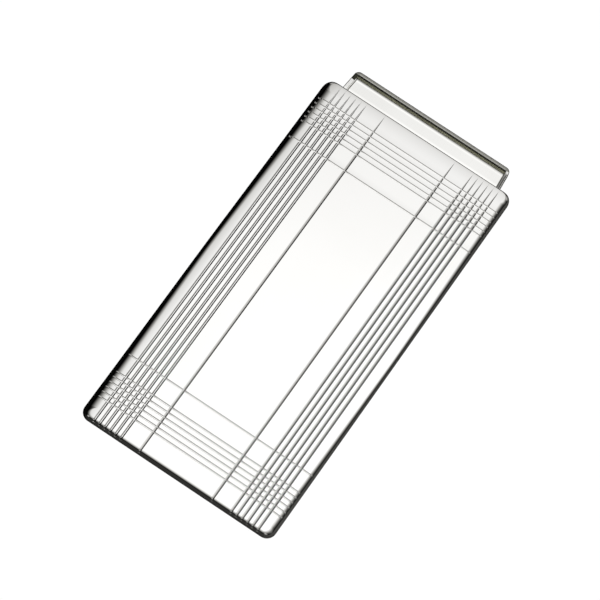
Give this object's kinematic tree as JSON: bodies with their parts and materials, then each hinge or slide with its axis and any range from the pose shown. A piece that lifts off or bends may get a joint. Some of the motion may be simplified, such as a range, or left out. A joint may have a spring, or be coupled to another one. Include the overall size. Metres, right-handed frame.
{
  "type": "money clip",
  "caption": "Spring-lever money clip: engraved mirror-finish front shell with a hinged clamp lever behind, opened by pressing its thumb tab.",
  "frame": {"origin": "bottom centre of the whole clip's box: on the resting plane, under the middle of its length and width", "axes": "+Z out of the engraved front, +Y along the length towards the thumb tab, +X across the width"},
  "size_m": [0.0254, 0.0542, 0.0048],
  "materials": {
    "mirror_plate": "bright mirror polish over brass, engraved lines",
    "lever_plate": "bright plating, polished",
    "inner_plate": "satin plated",
    "bracket_steel": "satin plated",
    "rivet_brass": "plain brass",
    "pin_steel": "drawn bright steel",
    "washer_brass": "plain brass",
    "spring_steel": "drawn spring wire"
  },
  "bodies": {
    "front": {"front_shell": "mirror_plate", "backing_plate": "inner_plate", "hinge_bracket": "bracket_steel", "bracket_rivets": "rivet_brass", "hinge_pin": "pin_steel", "pin_collar": "pin_steel", "pin_washer_left": "washer_brass", "pin_washer_right": "washer_brass", "torsion_spring_left": "spring_steel", "torsion_spring_right": "spring_steel", "spring_spacer": "washer_brass"},
    "lever": {"clamp_lever": "lever_plate"}
  },
  "joints": [
    {"name": "lever_hinge", "type": "hinge", "parent": "front", "child": "lever", "pos_m": [0, 0.01728, 0.0019], "axis": [1, 0, 0], "range_deg": [0, 7.5], "stiffness_Nm_per_rad": 0.04, "springref_deg": -57.3, "deforming": ["torsion_spring_left", "torsion_spring_right"]}
  ]
}
